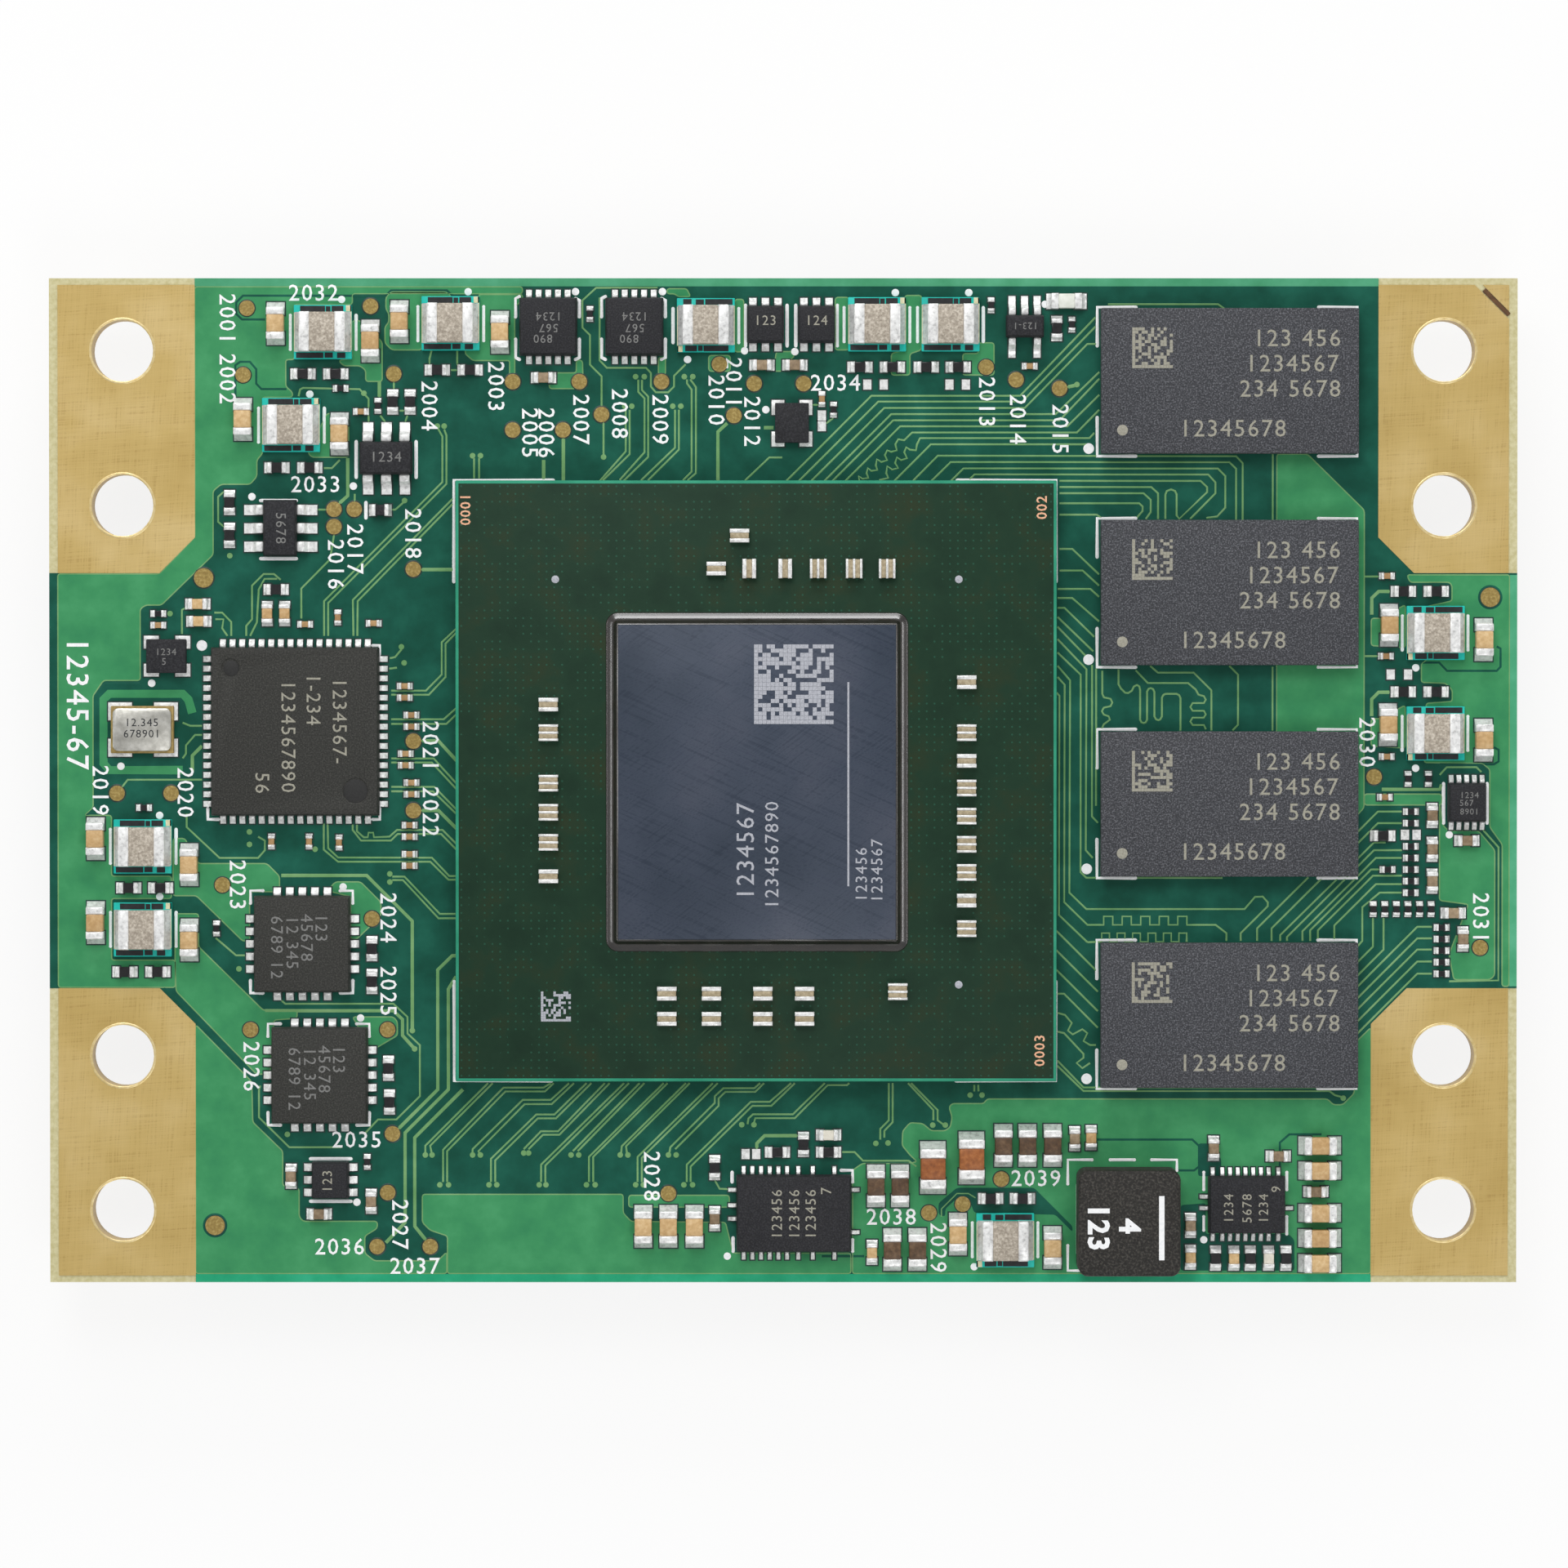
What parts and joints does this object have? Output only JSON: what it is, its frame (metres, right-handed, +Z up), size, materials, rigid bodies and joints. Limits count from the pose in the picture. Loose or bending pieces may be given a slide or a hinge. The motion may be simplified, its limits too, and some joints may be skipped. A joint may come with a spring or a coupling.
{
  "type": "system on module",
  "caption": "Flat green circuit module with a bare-die processor, memory packages and power parts on top, gold corner pads with screw holes, and board-to-board connectors underneath.",
  "frame": {"origin": "below the centre of the board, in the plane of the connectors' mating faces", "axes": "+X along the long side, towards the memory packages; +Y along the short side; +Z up, out of the component side"},
  "size_m": [0.076, 0.052, 0.0084],
  "materials": {
    "laminate": "bare glass-fibre laminate",
    "solder_mask": "green solder mask, satin",
    "gold_plating": "gold plated copper, finely scratched",
    "solder": "bright tin solder",
    "package_substrate": "dark green laminate with mask",
    "silicon": "satin ground silicon",
    "underfill": "glossy dark resin",
    "mold_compound": "fine grained moulded black",
    "module_board": "teal laminate",
    "ferrite": "grainy taupe ferrite",
    "coil_body": "coarse pressed powder",
    "tan_ceramic": "tan fired ceramic",
    "dark_ceramic": "brown fired ceramic",
    "red_ceramic": "red-brown fired ceramic",
    "grey_ceramic": "grey-brown fired ceramic",
    "resistor_glaze": "black glaze",
    "lid_metal": "nickel plated lid",
    "gold_ceramic": "ceramic base with a gilt seal ring",
    "led_lens": "clear lens on a white base",
    "housing_plastic": "black moulded plastic",
    "contact_gold": "gold plated contacts"
  },
  "bodies": {
    "root": {"laminate": "laminate", "mask_top": "solder_mask", "mask_bottom": "solder_mask", "corner_pads": "gold_plating", "test_pads": "gold_plating", "bare_lands": "solder", "processor_substrate": "package_substrate", "processor_die": "silicon", "processor_underfill": "underfill", "processor_balls": "solder", "processor_capacitor_bodies": "tan_ceramic", "processor_capacitor_terminals": "solder", "memory_substrates": "package_substrate", "memory_molds": "mold_compound", "memory_balls": "solder", "clock_chip_body": "mold_compound", "clock_chip_leads": "solder", "regulator_bodies": "mold_compound", "regulator_leads": "solder", "converter_bodies": "mold_compound", "converter_leads": "solder", "switch_bodies": "mold_compound", "switch_leads": "solder", "driver_bodies": "mold_compound", "driver_leads": "solder", "transistor_bodies": "mold_compound", "transistor_leads": "solder", "module_boards": "module_board", "module_inductors": "ferrite", "module_terminals": "solder", "power_inductor_body": "coil_body", "power_inductor_terminals": "solder", "crystal_base": "gold_ceramic", "crystal_lid": "lid_metal", "oscillator_bodies": "mold_compound", "oscillator_lands": "solder", "led_body": "led_lens", "signal_diode_body": "mold_compound", "diode_terminals": "solder", "capacitor_0805_bodies": "red_ceramic", "capacitor_0805_terminals": "solder", "capacitor_0603_tan_bodies": "tan_ceramic", "capacitor_0603_dark_bodies": "dark_ceramic", "capacitor_0603_terminals": "solder", "capacitor_0402_bodies": "grey_ceramic", "capacitor_0402_terminals": "solder", "capacitor_0201_bodies": "tan_ceramic", "capacitor_0201_terminals": "solder", "resistor_0402_bodies": "resistor_glaze", "resistor_0402_terminals": "solder", "resistor_0201_bodies": "resistor_glaze", "resistor_0201_terminals": "solder", "connector_housings": "housing_plastic", "long_connector_contacts": "contact_gold", "side_connector_contacts": "contact_gold", "boot_memory_bodies": "mold_compound", "boot_memory_leads": "solder", "decoupling_bodies": "grey_ceramic", "decoupling_terminals": "solder"}
  },
  "joints": []
}
